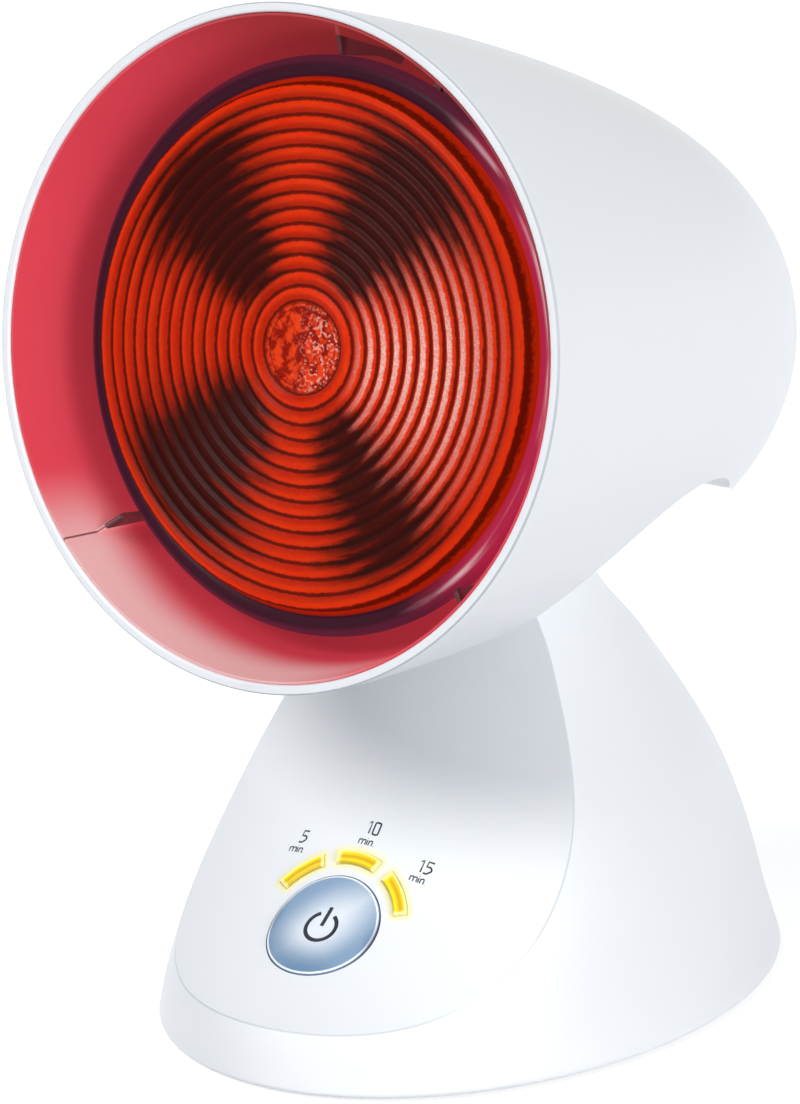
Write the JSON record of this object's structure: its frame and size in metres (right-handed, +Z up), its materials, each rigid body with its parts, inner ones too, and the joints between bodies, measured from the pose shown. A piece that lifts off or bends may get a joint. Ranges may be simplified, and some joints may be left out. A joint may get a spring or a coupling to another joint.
{
  "type": "infrared heat therapy lamp",
  "caption": "Free-standing infrared heat lamp: deep round head with a red ridged bulb, tilting in stops on a scooped white base with a push button and timer lights.",
  "frame": {"origin": "middle of the foot on the surface that the lamp stands on", "axes": "+Z up, -Y the front that the light leaves by, +X to the right as seen from the front"},
  "size_m": [0.1426, 0.1706, 0.2298],
  "materials": {
    "white_shell": "glossy white",
    "grey_plastic": "matt",
    "foot_rubber": "matt",
    "plated_steel": "zinc plated",
    "spring_steel": "dark",
    "board_green": "satin",
    "black_plastic": "matt",
    "blue_plastic": "satin",
    "yellow_plastic": "satin",
    "green_plastic": "matt",
    "led_yellow": "clear tinted",
    "window_yellow": "lit yellow",
    "button_blue": "satin blue-grey",
    "lead_red": "silicone insulation",
    "shade_red": "satin",
    "lens_red": "red pressed glass",
    "reflector_glass": "red glass, mirrored inside",
    "nickel": "nickel plated",
    "tungsten": "drawn wire",
    "holder_ceramic": "glazed",
    "holder_brass": "plain",
    "arm_grey": "matt, glass filled",
    "bush_bronze": "sintered"
  },
  "bodies": {
    "root": {"base_shell": "white_shell", "bottom_plate": "grey_plastic", "rubber_feet": "foot_rubber", "bottom_screws": "plated_steel", "cord_bush": "white_shell", "pivot_bracket": "plated_steel", "bracket_screws": "plated_steel", "pivot_pin": "plated_steel", "pivot_clip": "spring_steel", "friction_washers": "plated_steel", "detent_spring": "spring_steel", "detent_screw": "plated_steel", "control_board": "board_green", "board_screws": "plated_steel", "switch_body": "black_plastic", "relay": "blue_plastic", "capacitor": "yellow_plastic", "fuse": "black_plastic", "terminal_block": "green_plastic", "indicator_led_5": "led_yellow", "indicator_led_10": "led_yellow", "indicator_led_15": "led_yellow", "timer_window_5": "window_yellow", "timer_window_10": "window_yellow", "timer_window_15": "window_yellow", "base_leads": "lead_red"},
    "head": {"head_shell": "white_shell", "inner_shade": "shade_red", "shade_screws": "plated_steel", "bulb_lens": "lens_red", "bulb_reflector": "reflector_glass", "bulb_screw_cap": "nickel", "bulb_insulator": "black_plastic", "bulb_contact": "nickel", "bulb_filament": "tungsten", "filament_supports": "tungsten", "lampholder_body": "holder_ceramic", "lampholder_thread_shell": "holder_brass", "lampholder_contact": "holder_brass", "lampholder_bracket": "plated_steel", "lampholder_screws": "plated_steel", "tilt_arm": "arm_grey", "arm_screws": "plated_steel", "pivot_bush": "bush_bronze", "head_leads": "lead_red"},
    "button": {"power_button": "button_blue"},
    "plunger": {"switch_plunger": "black_plastic"}
  },
  "joints": [
    {"name": "head_tilt", "type": "hinge", "parent": "root", "child": "head", "pos_m": [0, 0.0043, 0.0706], "axis": [1, 0, 0], "range_deg": [-20, 20], "deforming": ["base_leads", "detent_spring"]},
    {"name": "button_press", "type": "slide", "parent": "root", "child": "button", "axis": [0, 0.5976, -0.8018], "range_m": [0, 0.0006], "stiffness_N_per_m": 1500, "springref_m": -0.0003},
    {"name": "plunger_press", "type": "slide", "parent": "root", "child": "plunger", "axis": [0, 0.5976, -0.8018], "range_m": [0, 0.0006]}
  ],
  "couplings": [
    {"joint": "plunger_press", "follows": "button_press", "ratio": 1}
  ]
}
